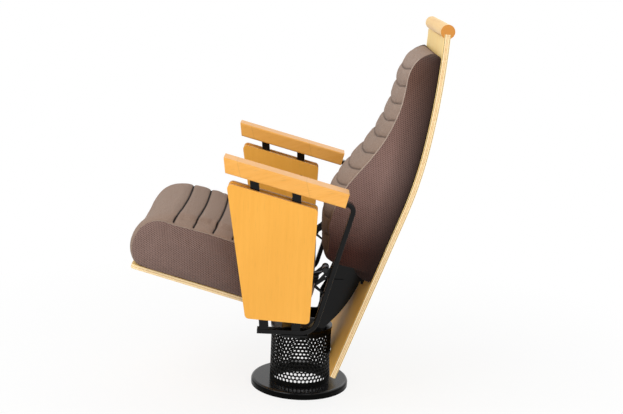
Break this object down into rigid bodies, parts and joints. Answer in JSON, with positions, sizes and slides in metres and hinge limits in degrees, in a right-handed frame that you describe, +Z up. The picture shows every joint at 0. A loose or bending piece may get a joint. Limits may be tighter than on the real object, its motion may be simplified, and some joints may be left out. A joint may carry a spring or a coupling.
{
  "type": "tip up auditorium seat",
  "caption": "Auditorium seat with a tip-up cushioned seat, tall curved plywood back, wooden armrests and a perforated steel pedestal on a round floor flange.",
  "frame": {"origin": "middle of the round base on the floor", "axes": "+Z up, +X to the sitter's left, -Y the way the sitter faces"},
  "size_m": [0.6, 0.7205, 0.9271],
  "materials": {
    "perforated_steel": "satin black powder coat",
    "black_steel": "satin black powder coat",
    "base_cover": "satin dark grey enamel",
    "bright_steel": "zinc plated",
    "spring_steel": "oiled spring wire",
    "beech_rail": "clear lacquered solid beech",
    "beech_panel": "clear lacquered beech plywood",
    "beech_shell": "clear lacquered beech plywood, pale edge",
    "upholstery": "taupe woven upholstery",
    "buffer_rubber": "black rubber",
    "black_plastic": "black nylon"
  },
  "bodies": {
    "stand": {"armrest_left": "beech_rail", "armrest_right": "beech_rail", "armrest_screws": "bright_steel", "back_bracket_left": "black_steel", "back_bracket_right": "black_steel", "back_cushion": "upholstery", "back_mount_plate": "black_steel", "back_shell": "beech_shell", "beam_bolts": "bright_steel", "bracket_tie": "black_steel", "cross_beam": "black_steel", "flange_cover": "base_cover", "floor_flange": "black_steel", "frame_bolts": "bright_steel", "frame_end_cap_left": "black_plastic", "frame_end_cap_right": "black_plastic", "front_post_left": "black_steel", "front_post_right": "black_steel", "panel_screws": "bright_steel", "pedestal_tube": "perforated_steel", "pivot_lug_left": "black_steel", "pivot_lug_right": "black_steel", "pivot_pin_left": "bright_steel", "pivot_pin_right": "bright_steel", "rear_post_left": "black_steel", "rear_post_right": "black_steel", "retaining_ring_left": "spring_steel", "retaining_ring_right": "spring_steel", "shell_bolts": "bright_steel", "side_frame_left": "black_steel", "side_frame_right": "black_steel", "side_panel_inner_left": "beech_panel", "side_panel_inner_right": "beech_panel", "side_panel_outer_left": "beech_panel", "side_panel_outer_right": "beech_panel", "stop_buffer_left": "buffer_rubber", "stop_buffer_right": "buffer_rubber", "top_plate": "black_steel", "top_rail": "beech_rail", "torsion_spring_left": "spring_steel", "torsion_spring_right": "spring_steel"},
    "seat": {"seat_arm_left": "black_steel", "seat_arm_right": "black_steel", "arm_bush_left": "black_plastic", "arm_bush_right": "black_plastic", "seat_shell": "beech_shell", "seat_cushion": "upholstery", "seat_bolts": "bright_steel"}
  },
  "joints": [
    {"name": "seat_tip", "type": "hinge", "parent": "stand", "child": "seat", "pos_m": [0, 0.049, 0.369], "axis": [-1, 0, 0], "range_deg": [0, 65], "stiffness_Nm_per_rad": 7, "springref_deg": 108.86, "deforming": ["torsion_spring_left", "torsion_spring_right"]}
  ]
}
